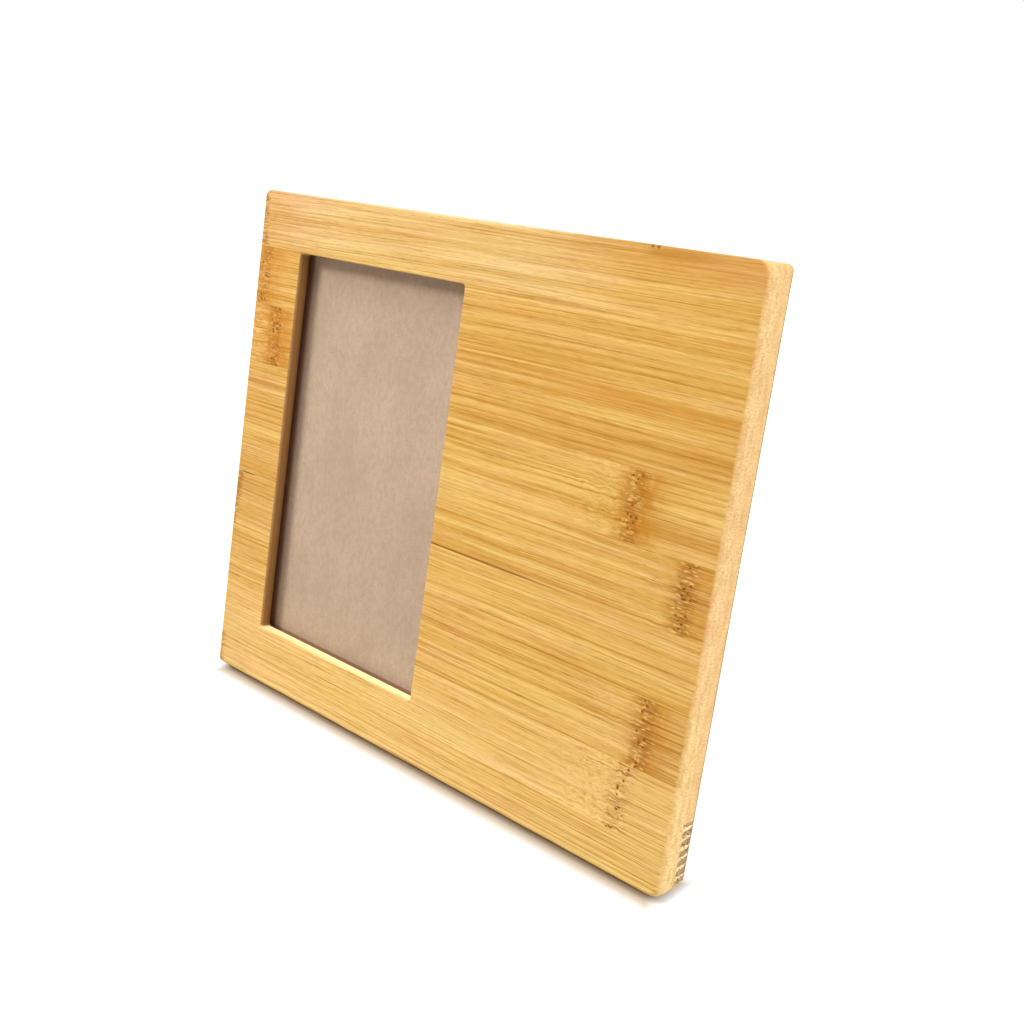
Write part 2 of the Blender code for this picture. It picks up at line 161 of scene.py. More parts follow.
class Graph:
    """A new material's node tree, with a short call for each kind of node that is used here."""

    def __init__(self, name):
        self.material = bpy.data.materials.new(name)
        self.material.use_nodes = True
        self.tree = self.material.node_tree
        self.tree.nodes.clear()

    def put(self, socket, value):
        if isinstance(value, Field):
            self.tree.links.new(value.socket, socket)
        else:
            socket.default_value = value

    def node(self, kind, **settings):
        made = self.tree.nodes.new(kind)
        for key, value in settings.items():
            setattr(made, key, value)
        return made

    def math(self, operation, *values):
        made = self.node("ShaderNodeMath", operation=operation)
        for socket, value in zip(made.inputs, values):
            self.put(socket, value)
        return Field(self, made.outputs[0])

    def vector(self, x, y, z):
        made = self.node("ShaderNodeCombineXYZ")
        for socket, value in zip(made.inputs, (x, y, z)):
            self.put(socket, value)
        return Field(self, made.outputs[0])

    def parts(self, vector):
        made = self.node("ShaderNodeSeparateXYZ")
        self.put(made.inputs[0], vector)
        return [Field(self, socket) for socket in made.outputs]

    def noise(self, vector, detail, roughness=0.5):
        """Smooth noise, about 0.5 on average."""
        made = self.node("ShaderNodeTexNoise")
        self.put(made.inputs["Vector"], vector)
        self.put(made.inputs["Scale"], 1.0)
        self.put(made.inputs["Detail"], detail)
        self.put(made.inputs["Roughness"], roughness)
        return Field(self, made.outputs["Fac"])

    def chance(self, value):
        """A steady random number from 0 to 1 for each whole number."""
        made = self.node("ShaderNodeTexWhiteNoise", noise_dimensions="1D")
        self.put(made.inputs["W"], value)
        return Field(self, made.outputs["Value"])

    def cells(self, vector):
        """Distance to the nearest of many scattered points."""
        made = self.node("ShaderNodeTexVoronoi", feature="F1")
        self.put(made.inputs["Vector"], vector)
        self.put(made.inputs["Scale"], 1.0)
        self.put(made.inputs["Randomness"], 1.0)
        return Field(self, made.outputs["Distance"])

    def ramp(self, value, low, high, start=0.0, end=1.0):
        """Eased change from start to end as the value goes from low to high."""
        made = self.node("ShaderNodeMapRange", interpolation_type="SMOOTHSTEP")
        for socket, number in zip(made.inputs, (value, low, high, start, end)):
            self.put(socket, number)
        return Field(self, made.outputs[0])

    def span(self, value, rise, fall):
        """Rises from 0 to 1 over one stretch of the value and falls back to 0 over another."""
        return self.ramp(value, *rise) * self.ramp(value, *fall)

    def near(self, value, place, outer, inner):
        """1 within the inner distance of a place, eased down to 0 at the outer distance."""
        return self.ramp(self.math("ABSOLUTE", value - place), outer, inner)

    def mix(self, share, first, second, blend="MIX"):
        """Two colours mixed by a share."""
        made = self.node("ShaderNodeMix", data_type="RGBA", blend_type=blend)
        self.put(made.inputs["Factor"], share)
        self.put(made.inputs["A"], colour(first))
        self.put(made.inputs["B"], colour(second))
        return Field(self, made.outputs["Result"])

    def steps(self, share, levels):
        """Levels that follow each other in equal steps as the share goes from 0 to 1."""
        made = self.node("ShaderNodeValToRGB")
        made.color_ramp.interpolation = "CONSTANT"
        elements = made.color_ramp.elements
        while len(elements) < len(levels):
            elements.new(1.0)
        for i, level in enumerate(levels):
            elements[i].position = i / len(levels)
            elements[i].color = (level, level, level, 1.0)
        self.put(made.inputs["Fac"], share)
        return Field(self, made.outputs["Color"])

    def object_place(self, axes, scale=1.0):
        """The surface point in the given axes, as three fields."""
        there = axes.inverted()
        made = self.node("ShaderNodeMapping", vector_type="POINT")
        self.put(made.inputs["Location"], there.to_translation() * scale)
        self.put(made.inputs["Rotation"], there.to_euler())
        self.put(made.inputs["Scale"], (scale, scale, scale))
        coordinates = self.node("ShaderNodeTexCoord")
        self.tree.links.new(coordinates.outputs["Object"], made.inputs["Vector"])
        return self.parts(Field(self, made.outputs["Vector"]))

    def facing(self, axis):
        """How squarely the surface lies across an axis, from 0 to 1, whichever way it looks."""
        coordinates = self.node("ShaderNodeTexCoord")
        made = self.node("ShaderNodeVectorMath", operation="DOT_PRODUCT")
        self.put(made.inputs[0], Field(self, coordinates.outputs["Normal"]))
        self.put(made.inputs[1], axis)
        return self.math("ABSOLUTE", Field(self, made.outputs["Value"]))

    def bump(self, height, strength, distance):
        made = self.node("ShaderNodeBump")
        self.put(made.inputs["Height"], height)
        self.put(made.inputs["Strength"], strength)
        self.put(made.inputs["Distance"], distance)
        return Field(self, made.outputs["Normal"])

    def finish(self, **inputs):
        """Ends the graph in one Principled shader."""
        shader = self.node("ShaderNodeBsdfPrincipled")
        for key, value in inputs.items():
            self.put(shader.inputs[key.replace("_", " ")], colour(value))
        output = self.node("ShaderNodeOutputMaterial")
        self.tree.links.new(shader.outputs[0], output.inputs["Surface"])
        return self.material


def colour(value):
    """Adds the alpha that a colour socket wants to a tuple of three; leaves anything else alone."""
    return (*value, 1.0) if isinstance(value, tuple) and len(value) == 3 else value


# Materials

# Bamboo along the grain
PALE = (0.91, 0.60, 0.200)
GOLD = (0.73, 0.40, 0.090)
STREAK = (0.43, 0.165, 0.009)
STAIN = (0.56, 0.212, 0.014)
PIT = (0.23, 0.058, 0.002)
CREAM = (1.0, 0.80, 0.46)
# A painted highlight on the window's sill
SILL_PAINTED_HIGHLIGHT = (1.0, 0.87, 0.41)
GREEN_CAST = (0.995, 1.010, 0.935)
PINK_CAST = (1.005, 0.990, 1.035)
# Bamboo across the grain
END_PALE = (0.98, 0.70, 0.33)
END_GOLD = (0.80, 0.47, 0.19)
END_DARK = (0.26, 0.14, 0.07)
# Painted shade on the cut ends inside the window
REVEAL_PAINTED_SHADE = (0.345, 0.163, 0.053)
HEEL = (0.54, 0.350, 0.160)
# Dark rims of the heel's stripes; also painted shade at the window's back and the rear edges
DARK_RIM_AND_SHADE = (0.12, 0.066, 0.024)
# Hardboard, nickel and the table
FIBRE_DARK = (0.543, 0.394, 0.273)
FIBRE_PALE = (0.61, 0.456, 0.323)
FIBRE_FUZZ = (0.47, 0.337, 0.232)
FIBRE_SCRATCH = (0.68, 0.56, 0.43)
FIBRE_GRIT = (0.30, 0.20, 0.13)
# Painted shadow in the panel's left and lower corners
PANEL_PAINTED_SHADOW = (0.27, 0.09, 0.036)
NICKEL_BRIGHT = (0.60, 0.585, 0.55)
NICKEL_CLOUD = (0.50, 0.475, 0.435)
TABLE_PALE = (0.5, 0.5, 0.5)
# Painted warm shade on the table under the board's foot
TABLE_PAINTED_SHADE = (0.46, 0.38, 0.28)
WHITE = (1.0, 1.0, 1.0)

# The board's front strips from its lower edge up: how dark each is, where the culm's node crosses
# it in millimetres from the left, how brown the node is and how far the fibres curl before it
BOARD_STRIPS = (
    (0.00, NO_NODE, 0.0, 0.0),
    (0.03, 182.0, 0.05, 1.0),
    (0.34, 186.0, 0.78, 0.3),
    (0.32, NO_NODE, 0.0, 0.0),
    (0.50, 191.5, 0.68, 0.3),
    (0.44, 171.0, 1.0, 0.7),
    (0.80, 13.5, 1.0, 0.9),
    (0.58, 4.5, 0.7, 0.9),
    (0.38, NO_NODE, 0.0, 0.0),
)
LEG_STRIPS = ((0.35, 62.0, 0.6, 0.5), (0.15, NO_NODE, 0.0, 0.0), (0.30, NO_NODE, 0.0, 0.0))

# Marks in millimetres: heights above the board's lower edge, and the chips' place from its left
OPEN_JOINT = 69.9
WARM_BAND = 124.5
SCORCH = 162.9
CHIPS = 165.0
CHIP_OFFSET = 0.95
BLOCK_TOP = 54.3
HEEL_TOP = 21.0
HEEL_STRIPE = 2.75
# Tints of the board, some of them painted light and shade: what the colour is multiplied by, then
# the stretches along the board and up it over which the tint comes in, in millimetres
TINTS = (
    ((1.02, 1.11, 1.48), ((5.0, 40.0), (175.0, 120.0)), ((144.0, 150.0),)),  # paler top rail, partly painted light from the upper left
    ((1.0, 0.99, 1.22), ((45.0, 15.0),), ((146.0, 149.0),)),  # pink top left
    ((0.84, 0.85, 0.98), (), ((164.0, 164.8),)),  # upper edge: painted shade that tones down its light
    ((1.05, 1.075, 1.12), (), ((75.0, 12.0),)),  # lower strips: paler, partly painted light thrown up by the table
    ((1.025, 1.045, 1.11), (), ((24.0, 15.0),)),  # bottom rail: paler, partly painted light thrown up by the table
    ((0.965, 0.945, 1.0), ((32.0, 12.0),), ()),  # left stile: painted shade
    ((1.05, 1.06, 1.10), ((40.0, 16.0),), ((107.0, 110.0), (147.5, 146.5))),  # its upper part
)
TOP_RIGHT_TINT = (1.0, 0.97, 1.10)
BLOCK_TINT = (1.02, 1.07, 1.02)
# Painted light under the window's upper edge, against the shadow there
PANEL_TOP_PAINTED_LIGHT = (1.14, 1.14, 1.14)


def bamboo(name, axes, strips, marks=None):
    """Laminated bamboo with its grain along the first of the axes; works in millimetres."""
    g = Graph(name)
    x, depth, height = g.object_place(axes, 1 / MM)

    # Which strip this is, and what the table says of it
    ply = g.math("GREATER_THAN", depth, PLY)
    across = (height - FIRST_JOINT) / STRIP_WIDTH + ply * BACK_PLY_SHIFT
    strip = g.math("FLOOR", across)
    share = g.math("FRACT", across)
    number = strip + ply * BACK_PLY_NUMBERS
    row = (strip + 1.5) / len(strips)
    tone, node_x, stain, curly = [g.steps(row, levels) for levels in zip(*strips)]
    slant = g.chance(number + 90.5) - 0.5

    # How far past the strip's node; only the front ply shows nodes
    wriggle = g.noise(g.vector(number * 7.0, height / 2.6, depth / 3.0), detail=3) - 0.5
    off = x - node_x + ply * OUT_OF_SIGHT - (share - 0.5) * slant * 6.0 + wriggle * 7.0
    away = g.math("ABSOLUTE", off)
    before = curly * g.span(off, (-34.0, -6.0), (6.0, 0.0))

    # Fibres, from broad bands to fine flecks, which curl on their way to a node
    drift = g.noise(g.vector(x / 80, number * 3.1, height / 24), detail=1) - 0.5
    curl = g.noise(g.vector(x / 3.4, number * 5.3, height / 2.4), detail=2) - 0.5
    line = height + drift * 1.4 + before * curl * 2.6
    spot = depth / 0.7 + number * 4.3
    band = g.noise(g.vector(x / 170, depth / 5 + number * 9.7, line / 3.0), detail=3)
    streak = g.noise(g.vector(x / 90, spot, line / 0.62), detail=3, roughness=0.6)
    hair = g.noise(g.vector(x / 22, spot + 50.0, line / 0.34), detail=2)
    fleck = g.noise(g.vector(x / 4.0, spot + 90.0, line / 0.27), detail=3)
    flame = g.noise(g.vector(x / 2.4, number * 8.1, (line + curl * 2.0) / 0.62), detail=2)
    dark = g.ramp(streak, 0.47, 0.66) * (0.48 + tone * 0.10)
    dark = dark + g.ramp(hair, 0.46, 0.68) * (0.44 - tone * 0.16) + g.ramp(fleck, 0.46, 0.72) * 0.30
    dark = dark + before * (g.ramp(flame, 0.48, 0.62) * 0.34 - 0.12)
    bright = g.ramp(streak, 0.47, 0.30) * 0.5 + g.ramp(hair, 0.44, 0.28) * 0.35
    bright = bright + g.ramp(fleck, 0.46, 0.26) * 0.25 + before * g.ramp(flame, 0.46, 0.34) * 0.5

    face = g.mix(g.ramp(band, 0.30, 0.66) * (0.55 + tone), PALE, GOLD)
    face = g.mix(tone * 0.42, face, g.mix(0.3, GOLD, STREAK))
    face = g.mix(bright, face, PALE)
    face = g.mix(dark * 0.8, face, STREAK)
    hue = g.noise(g.vector(x / 45, number * 2.7, height / 8.0), detail=2)
    cast = g.mix(g.ramp(hue, 0.36, 0.64), GREEN_CAST, PINK_CAST)
    face = g.mix(1.0, face, cast, "MULTIPLY")

    # The node: a brown haze with a tail after it, dark dashes, pale beads and a row of pits
    blotch = g.noise(g.vector(x / 2.6, number * 11.0, height / 3.4), detail=3)
    haze = g.span(off, (-9.0, -2.0), (12.0, 3.0)) * g.ramp(blotch, 0.25, 0.62, 0.25, 1.0)
    tail = g.span(off, (-3.0, 3.0), (30.0, 2.0)) * stain * (1.0 - curly)
    face = g.mix((haze * (0.42 + curly * 0.34) + tail * 0.72) * stain, face, STAIN)
    dash = g.span(off, (-7.0, -0.5), (5.0, 0.0)) + tail * 0.8
    face = g.mix(dash * g.ramp(hair, 0.46, 0.62) * 0.38, face, PIT)
    face = g.mix(tail * g.ramp(streak, 0.50, 0.60) * 0.6, face, PIT)
    bead = g.cells(g.vector(x / 2.6, number * 13.0, (line + curl * 0.8) / 0.80))
    knot = g.ramp(away, 4.6, 1.6) * (1.0 - curly * 0.6)
    face = g.mix(knot * g.ramp(bead, 0.38, 0.60) * 0.40, face, PIT)
    face = g.mix(knot * g.ramp(bead, 0.36, 0.12) * 0.80, face, PALE)
    pit = g.ramp(g.cells(g.vector(x / 1.7, height / 1.35, number * 17.0)), 0.36, 0.20)
    pit = pit * g.ramp(away + (blotch - 0.5) * 8.0, 2.6, 1.4)
    face = g.mix(pit * 0.9, face, PIT)

    # Joints between strips, dark here and there
    edge = g.math("MINIMUM", share, 1.0 - share) * STRIP_WIDTH
    gap = g.noise(g.vector(x / 40, g.math("ROUND", across) * 19.0, ply), detail=1)
    glue = g.ramp(edge, 0.24, 0.08) * g.ramp(gap, 0.54, 0.66)
    face = g.mix(glue * 0.6, face, PIT)

    # The cut ends: pale with darker bundles towards the culm's outside
    bundle = g.cells(g.vector(depth / 0.80, height / 0.70, number))
    saw = g.noise(g.vector(depth / 1.1, height / 0.55, number), detail=3)
    patch = g.noise(g.vector(depth / 2.0, height / 7.0, number * 3.0), detail=2)
    outer = g.math("FRACT", depth / PLY)
    end = g.mix(g.ramp(saw, 0.38, 0.62) * 0.6 + g.ramp(patch, 0.4, 0.66) * 0.6, END_PALE, END_GOLD)
    end = g.mix(tone * 0.25 + ply * 0.2, end, END_GOLD)
    end = g.mix(g.ramp(bundle, 0.30, 0.14) * (0.12 + outer * 0.40), end, END_DARK)
    end = g.mix(g.ramp(edge, 0.22, 0.08) * 0.12, end, STAIN)
    seam = g.near(depth, PLY, 0.6, 0.10) * g.ramp(patch, 0.45, 0.65)
    end = g.mix(seam * 0.4, end, CREAM)
    if marks:
        face, end = marks(g, x, depth, height, face, end)

    # Edges along the grain are paler than the front; faces across the grain show the cut ends
    along, _, up = axes.to_3x3().transposed()
    face = g.mix(g.ramp(g.facing(up), 0.5, 0.9) * 0.3, face, CREAM)
    cut = g.ramp(g.facing(along) + (hair - 0.5) * 0.5, 0.25, 0.90)

    return g.finish(
        Base_Color=g.mix(cut, face, end),
        Roughness=0.52 + dark * 0.12,
        Specular_IOR_Level=0.08,
        Normal=g.bump(-dark - pit * 2.0, 0.2, 0.0001),
    )


def board_marks(g, x, depth, height, face, end):
    """What is peculiar to this one board; places are in millimetres."""
    # An open joint right of the window and at the left edge, a warm band, a warm upper right corner
    joint = g.near(height, OPEN_JOINT, 0.38, 0.12)
    open_part = g.span(x, (94.0, 100.0), (160.0, 134.0)) + g.span(x, (2.0, 4.0), (12.0, 8.0))
    face = g.mix(joint * open_part * 0.85, face, PIT)
    warm = g.near(height, WARM_BAND, 4.0, 1.5) * g.ramp(x, 115.0, 150.0)
    face = g.mix(warm * 0.28, face, STAIN)
    top = g.ramp(height, 152.0, 162.0) * g.ramp(x, 110.0, 170.0)
    face = g.mix(top * 0.30, face, STAIN)
    face = g.mix(top, face, TOP_RIGHT_TINT, "MULTIPLY")
    scorch = g.near(height, SCORCH, 1.8, 0.6) * g.span(x, (160.0, 166.0), (196.0, 174.0))
    face = g.mix(scorch * 0.42, face, STREAK)

    # Broad differences in tone, partly painted light and shade
    for tint, along, upwards in TINTS:
        steps = [g.ramp(x, *stretch) for stretch in along]
        steps += [g.ramp(height, *stretch) for stretch in upwards]
        share = steps[0]
        for step in steps[1:]:
            share = share * step
        face = g.mix(share, face, tint, "MULTIPLY")

    # The window: a painted highlight on the sill and painted shade on its cut ends, darkest at the
    # back
    sill_highlight = g.near(height, BOTTOM_RAIL / MM, 0.5, 0.1) * g.ramp(x, 105.0, 100.0)
    sill_highlight = sill_highlight * g.span(depth, (0.2, 1.6), (4.4, 4.0)) * g.ramp(x, 20.0, 95.0, 0.55, 1.0)
    face = g.mix(sill_highlight, face, SILL_PAINTED_HIGHLIGHT)
    # Painted shade on the window's cut ends, deeper towards the back
    inside = g.span(x, (14.0, 16.0), (106.0, 104.0))
    end = g.mix(inside * g.ramp(depth, 0.2, 1.5, 0.6, 1.0), end, REVEAL_PAINTED_SHADE)
    end = g.mix(inside * g.ramp(depth, 2.2, 3.6) * 0.5, end, DARK_RIM_AND_SHADE)

    # The right end: a pale block and below it a dark heel with ragged pale stripes
    right = g.ramp(x, 150.0, 160.0)
    ragged = g.noise(g.vector(depth / 0.8, height / 0.8, 3.0), detail=3) - 0.5
    block = g.ramp(height, BLOCK_TOP, BLOCK_TOP - 0.7) * g.ramp(depth + ragged, 5.5, 3.5)
    end = g.mix(block * right, end, BLOCK_TINT, "MULTIPLY")
    heel = g.ramp(height + ragged, HEEL_TOP, HEEL_TOP - 0.6) * right
    heel = heel * g.ramp(depth + ragged * 2.6, 5.2, 5.7)
    wave = g.math("FRACT", (height - depth * 0.18 + ragged * 2.6) / HEEL_STRIPE)
    off_stripe = g.math("ABSOLUTE", wave - 0.5)
    rim = g.span(off_stripe, (0.08, 0.17), (0.36, 0.22))
    speck = g.noise(g.vector(depth / 0.8, height / 0.5, 8.0), detail=3)
    end = g.mix(heel * g.ramp(ragged, -0.2, 0.2, 0.6, 1.0), end, HEEL)
    end = g.mix(heel * g.ramp(speck, 0.46, 0.62) * 0.9, end, DARK_RIM_AND_SHADE)
    end = g.mix(heel * rim * g.ramp(depth, 5.0, 9.5, 0.1, 0.6), end, DARK_RIM_AND_SHADE)
    end = g.mix(heel * g.ramp(off_stripe, 0.21, 0.09), end, CREAM)

    # Both ends: painted shade along the rear edge and, on the left, a plain front round
    from_middle = g.math("ABSOLUTE", x - BOARD_WIDTH / 2 / MM)
    rear = g.ramp(depth, 8.8, 9.4) * g.ramp(from_middle, 97.0, 99.0)
    end = g.mix(rear * 0.7, end, DARK_RIM_AND_SHADE)
    end = g.mix(g.ramp(x, 2.5, 1.5) * g.ramp(depth, 3.0, 1.5) * 0.8, end, END_PALE)

    # Two small chips in the upper edge
    chip = g.near(g.math("ABSOLUTE", x - CHIPS), CHIP_OFFSET, 0.6, 0.3)
    chip = chip * g.ramp(height, 163.8, 164.4) * g.ramp(depth, 1.6, 0.8)
    face = g.mix(chip * 0.8, face, PIT)
    return face, end


def hardboard():
    """Smooth pressed fibre, faintly mottled and scratched; works in millimetres."""
    g = Graph("hardboard")
    x, depth, height = g.object_place(BOARD_AXES, 1 / MM)
    cloud = g.noise(g.vector(x / 14, depth, height / 22), detail=3)
    fuzz = g.noise(g.vector(x / 1.5, depth / 1.5, height / 2.2), detail=4, roughness=0.6)
    scratch = g.noise(g.vector(x / 0.9 + height / 40, depth, height / 34), detail=1)
    base = g.mix(g.ramp(cloud, 0.3, 0.7), FIBRE_DARK, FIBRE_PALE)
    base = g.mix(g.ramp(fuzz, 0.30, 0.72) * 0.65, base, FIBRE_FUZZ)
    base = g.mix(g.ramp(scratch, 0.70, 0.80) * 0.2, base, FIBRE_SCRATCH)
    grit = g.noise(g.vector(x / 0.4, depth / 0.4, height / 0.4), detail=2)
    base = g.mix(g.ramp(grit, 0.36, 0.64, -0.07, 0.27), base, FIBRE_GRIT)

    # Front only: painted light under the window's upper edge, painted shadow in its left and lower
    # corners
    left = WINDOW_LEFT / MM
    low = BOTTOM_RAIL / MM
    front = g.ramp(depth, 7.0, 6.6)
    base = g.mix(front * g.ramp(height, 139.0, 146.0), base, PANEL_TOP_PAINTED_LIGHT, "MULTIPLY")
    # Painted shadow along the window's left and lower edges
    corner = g.math("MAXIMUM", g.ramp(x, left + 1.0, left - 1.2), g.ramp(height, low, low - 0.2))
    base = g.mix(front * corner * 0.70, base, PANEL_PAINTED_SHADOW)
    return g.finish(Base_Color=base, Roughness=0.75, Specular_IOR_Level=0.15)


def nickel():
    """Tumbled nickel plate on pressed steel: a soft shine with cloudy patches and rub marks."""
    g = Graph("nickel_steel")
    x, depth, height = g.object_place(BOARD_AXES, 1 / MM)
    cloud = g.noise(g.vector(x / 2.5, depth / 2.5, height / 2.5), detail=3)
    rub = g.noise(g.vector(x / 1.4, depth / 0.12, height / 0.12), detail=2)
    tint = g.mix(g.ramp(cloud, 0.35, 0.70), NICKEL_BRIGHT, NICKEL_CLOUD)
    return g.finish(
        Base_Color=tint,
        Metallic=1.0,
        Roughness=0.22 + cloud * 0.14 + rub * 0.10,
        Normal=g.bump(rub, 0.12, 0.00005),
    )


def clear_sheet():
    """See-through, with a reflection that grows towards grazing angles on the outer faces."""
    g = Graph("clear_acrylic")
    output = g.node("ShaderNodeOutputMaterial")
    through = g.node("ShaderNodeBsdfTransparent")
    gloss = g.node("ShaderNodeBsdfGlossy")
    gloss.inputs["Roughness"].default_value = 0.04
    facing = g.node("ShaderNodeFresnel")
    facing.inputs["IOR"].default_value = 1.45
    inside = Field(g, g.node("ShaderNodeNewGeometry").outputs["Backfacing"])
    mixed = g.node("ShaderNodeMixShader")
    shine = g.ramp(Field(g, facing.outputs[0]), 0.08, 0.8, 0.0, 0.6)
    g.put(mixed.inputs[0], shine * (1.0 - inside))
    g.tree.links.new(through.outputs[0], mixed.inputs[1])
    g.tree.links.new(gloss.outputs[0], mixed.inputs[2])
    g.tree.links.new(mixed.outputs[0], output.inputs["Surface"])
    return g.material


def dress(nodes, material):
    for name in nodes:
        data = frame["nodes"][name].data
        data.materials.clear()
        data.materials.append(material)


BOARD_WOOD = bamboo("bamboo_board", BOARD_AXES @ BOARD_LEFT, BOARD_STRIPS, board_marks)
LEG_WOOD = bamboo("bamboo_leg", LEG_AXES, LEG_STRIPS)
NICKEL = nickel()
METAL_NODES = [name for name in frame["nodes"] if name.startswith(("hinge_", "button_", "turn_"))]
dress(["leg"], LEG_WOOD)
dress(["glazing"], clear_sheet())
dress(["back_panel"], hardboard())
dress(METAL_NODES, NICKEL)


def add_object(name, data):
    obj = bpy.data.objects.new(name, data)
    bpy.context.scene.collection.objects.link(obj)
    return obj


# Board: finer rounds than the solid's, with an edge that was sanded by hand

def outline(size, radii, middle):
    """Points round a rounded rectangle in the board's plane, each with its outward direction."""
    points = []
    for quarter, (right, up) in enumerate(((1, 1), (-1, 1), (-1, -1), (1, -1))):
        radius = radii[quarter]
        centre = middle + Vector((right * (size[0] / 2 - radius), up * (size[1] / 2 - radius)))
        for step in range(CORNER_STEPS + 1):
            angle = (quarter + step / CORNER_STEPS) * math.pi / 2
            outwards = Vector((math.cos(angle), math.sin(angle)))
            points.append((centre + outwards * radius, outwards))
    ring = []
    for i, (point, outwards) in enumerate(points):
        ring.append((point, outwards))
        if (i + 1) % (CORNER_STEPS + 1) == 0:
            following = points[(i + 1) % len(points)][0]
            for step in range(1, SIDE_STEPS):
                ring.append((point.lerp(following, step / SIDE_STEPS), outwards))
    return ring


def part_way(value, start, end):
    return max(0.0, min(1.0, (value - start) / (end - start)))


def sanded(point):
    """The front round's radius: it wanders, and is wider midway along the top and at the right."""
    wander = noise.noise(Vector((point.x * 90, point.y * 90, 3.0)))
    flutter = noise.noise(Vector((point.x * 330, point.y * 330, 8.0)))
    top = part_way(point.y, BOARD_HEIGHT - 0.004, BOARD_HEIGHT - 0.001)
    right = part_way(point.x, BOARD_WIDTH / 2 - 0.004, BOARD_WIDTH / 2 - 0.001)
    low = part_way(point.y, 0.055, 0.053)
    worn = max(0.0, 1.0 - abs(point.x + 0.012) / 0.06)
    wider = 0.2 * wander - top * 0.5 + top * worn * (0.7 + 0.5 * flutter)
    wider += right * (0.2 + 0.4 * low)
    return FRONT_ROUND * (1.0 + wider)


def board_rings():
    """Rings from the front over the outer edge to the back, and by the rebate to the front."""
    board_size = (BOARD_WIDTH, BOARD_HEIGHT)
    front = outline(board_size, FRONT_CORNERS, BOARD_MIDDLE)
    back = outline(board_size, BACK_CORNERS, BOARD_MIDDLE)
    window = outline((WINDOW_WIDTH, WINDOW_HEIGHT), [WINDOW_CORNER] * 4, WINDOW_MIDDLE)
    rebate_size = (WINDOW_WIDTH + 2 * LEDGE, WINDOW_HEIGHT + 2 * LEDGE)
    rebate = outline(rebate_size, [REBATE_CORNER] * 4, WINDOW_MIDDLE)

    def ring(line, inset, depth):
        made = []
        for point, outwards in line:
            there = point - outwards * inset(point)
            made.append((there.x, depth(point), there.y))
        return made

    def steady(value):
        return lambda point: value

    angles = [i / ROUND_STEPS * math.pi / 2 for i in range(ROUND_STEPS + 1)]
    rings = []
    for angle in angles:
        inwards, deeper = 1 - math.sin(angle), 1 - math.cos(angle)
        rings.append(ring(front, lambda p: sanded(p) * inwards, lambda p: sanded(p) * deeper))
    for angle in angles:
        inset = BACK_EASE * (1 - math.cos(angle))
        depth = BOARD_THICKNESS - BACK_EASE * (1 - math.sin(angle))
        rings.append(ring(back, steady(inset), steady(depth)))
    rings.append(ring(rebate, steady(0.0), steady(BOARD_THICKNESS)))
    rings.append(ring(rebate, steady(0.0), steady(LIP)))
    rings.append(ring(window, steady(0.0), steady(LIP)))
    for angle in angles:
        outset, depth = WINDOW_EASE * (1 - math.cos(angle)), WINDOW_EASE * (1 - math.sin(angle))
        rings.append(ring(window, steady(-outset), steady(depth)))
    return rings


def skin(name, rings):
    """A closed ring-shaped mesh over rings of equal count, stood up in the board's axes."""
    bm = bmesh.new()
    loops = [[bm.verts.new(point) for point in ring] for ring in rings]
    for first, second in zip(loops, loops[1:] + loops[:1]):
        for i in range(len(first)):
            bm.faces.new((first[i - 1], first[i], second[i], second[i - 1]))
    bmesh.ops.recalc_face_normals(bm, faces=bm.faces)
    mesh = bpy.data.meshes.new(name)
    bm.to_mesh(mesh)
    bm.free()
    mesh.transform(BOARD_AXES)
    return add_object(name, mesh)


def board():
    piece = skin("board", board_rings())
    piece.data.shade_smooth()
    piece.data.set_sharp_from_angle(angle=math.radians(40))
    piece.modifiers.new("flat_faces", "WEIGHTED_NORMAL").keep_sharp = True
    piece.data.materials.append(BOARD_WOOD)
    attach(piece, "frame")
    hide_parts("face_board")


def ease(name, width, segments):
    """Breaks the sharp edges of one of the solid's nodes."""
    modifiers = frame["nodes"][name].modifiers
    modifiers.new("join", "WELD").merge_threshold = 0.000005
    flat = modifiers.new("flat", "DECIMATE")
    flat.decimate_type = "DISSOLVE"
    flat.angle_limit = math.radians(1)
    edges = modifiers.new("edges", "BEVEL")
    edges.width = width
    edges.segments = segments
    edges.limit_method = "ANGLE"
    edges.angle_limit = math.radians(35)
    modifiers.new("flat_faces", "WEIGHTED_NORMAL")


board()
ease("leg", LEG_EDGE, 3)
for name in METAL_NODES:
    ease(name, METAL_EDGE, 2)


# Stage: table, world, lamps and camera

TABLE_SIZE = 6.0
BOARD_FOOT_Y = -0.0266
FOOT_SHORTER = 0.005
WORLD_LIGHT = 0.14
LAMP_TARGET = Vector((0, 0, 0.08))
# Name, place, diameter and power of each lamp
LAMPS = (
    ("overhead", (0.0, -0.20, 1.25), 0.8, 10.6),
    ("key", (-0.55, -0.75, 0.95), 0.45, 10.7),
    ("side", (1.1, 0.10, 0.35), 0.6, 7.4),
    ("rear", (-0.5, 1.0, 0.7), 0.6, 5.0),
)


def camera_only(g, strength):
    """A glow that the camera sees, straight or mirrored, and that lights nothing."""
    path = g.node("ShaderNodeLightPath")
    kinds = ("Camera", "Glossy", "Transmission")
    rays = [Field(g, path.outputs[f"Is {kind} Ray"]) for kind in kinds]
    looked_at = g.math("MAXIMUM", g.math("MAXIMUM", rays[0], rays[1]), rays[2])
    return looked_at * strength


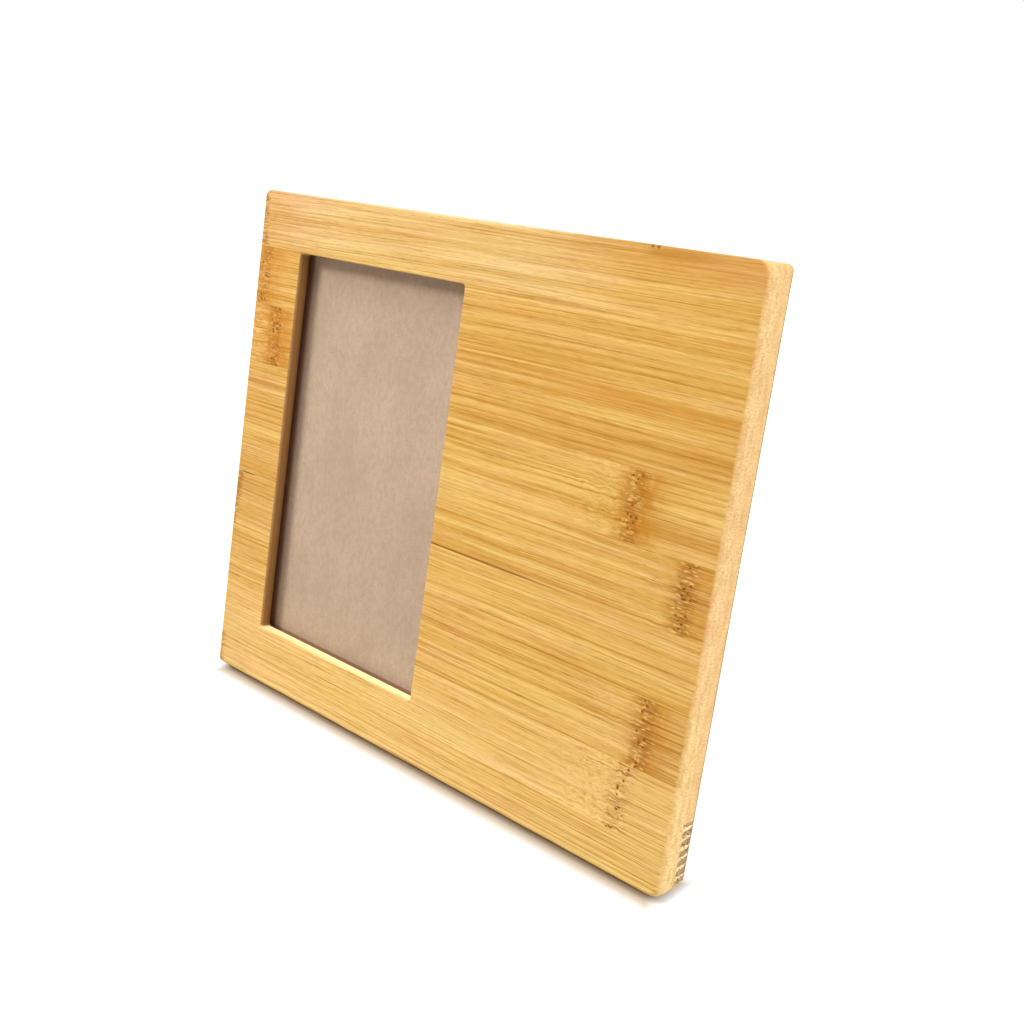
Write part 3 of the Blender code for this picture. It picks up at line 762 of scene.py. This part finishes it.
def table():
    """White to the eye, save for the shadow and a strip of painted warm shade under the board's
    foot.
    """
    mesh = bpy.data.meshes.new("table")
    half = TABLE_SIZE / 2
    corners = [(-half, -half, 0), (half, -half, 0), (half, half, 0), (-half, half, 0)]
    mesh.from_pydata(corners, [], [(0, 1, 2, 3)])
    obj = add_object("table", mesh)
    g = Graph("table_white")
    x, y, _ = g.object_place(Matrix.Identity(4))

    # The glow lifts what the lamps leave grey, most of all far off and past the board's right end
    far = g.ramp(g.math("SQRT", x * x + y * y), 0.15, 0.6)
    beside = g.math("ABSOLUTE", y - BOARD_FOOT_Y) - BOARD_THICKNESS / 2
    beside = g.math("MAXIMUM", beside, g.math("ABSOLUTE", x) - BOARD_WIDTH / 2 + FOOT_SHORTER)
    clear = g.ramp(beside, -0.001, 0.007)
    right = g.ramp(x, 0.099, 0.108)
    glow = camera_only(g, clear * 0.74 + far * 0.24 + right * 0.45)
    # Painted warm shade under the board's foot in the base colour
    mesh.materials.append(
        g.finish(
            Base_Color=g.mix(clear, TABLE_PAINTED_SHADE, TABLE_PALE),
            Roughness=0.8,
            Emission_Color=WHITE,
            Emission_Strength=glow,
        )
    )


def world():
    """White where it is seen or mirrored, and a dim fill light otherwise."""
    made = bpy.data.worlds.new("studio")
    bpy.context.scene.world = made
    made.use_nodes = True
    tree = made.node_tree
    background = tree.nodes["Background"]
    path = tree.nodes.new("ShaderNodeLightPath")
    seen = tree.nodes.new("ShaderNodeMix")
    seen.inputs["A"].default_value = WORLD_LIGHT
    seen.inputs["B"].default_value = 1.0
    either = path.outputs["Is Camera Ray"]
    for kind in ("Is Glossy Ray", "Is Transmission Ray"):
        most = tree.nodes.new("ShaderNodeMath")
        most.operation = "MAXIMUM"
        tree.links.new(either, most.inputs[0])
        tree.links.new(path.outputs[kind], most.inputs[1])
        either = most.outputs[0]
    tree.links.new(either, seen.inputs["Factor"])
    background.inputs["Color"].default_value = (1, 1, 1, 1)
    tree.links.new(seen.outputs["Result"], background.inputs["Strength"])


def aim(obj, place, target):
    obj.location = place
    obj.rotation_mode = "QUATERNION"
    obj.rotation_quaternion = (target - Vector(place)).to_track_quat("-Z", "Y")


def lamp(name, place, size, power):
    light = bpy.data.lights.new(name, "AREA")
    light.shape = "DISK"
    light.size = size
    light.energy = power
    aim(add_object(name, light), place, LAMP_TARGET)


def camera():
    data = bpy.data.cameras.new("camera")
    data.lens = CAMERA_LENS
    data.sensor_width = CAMERA_SENSOR
    data.clip_start = 0.01
    obj = add_object("camera", data)
    aim(obj, CAMERA_PLACE, CAMERA_TARGET)
    bpy.context.scene.camera = obj


table()
world()
for settings in LAMPS:
    lamp(*settings)
camera()
bpy.context.scene.view_settings.view_transform = "Standard"
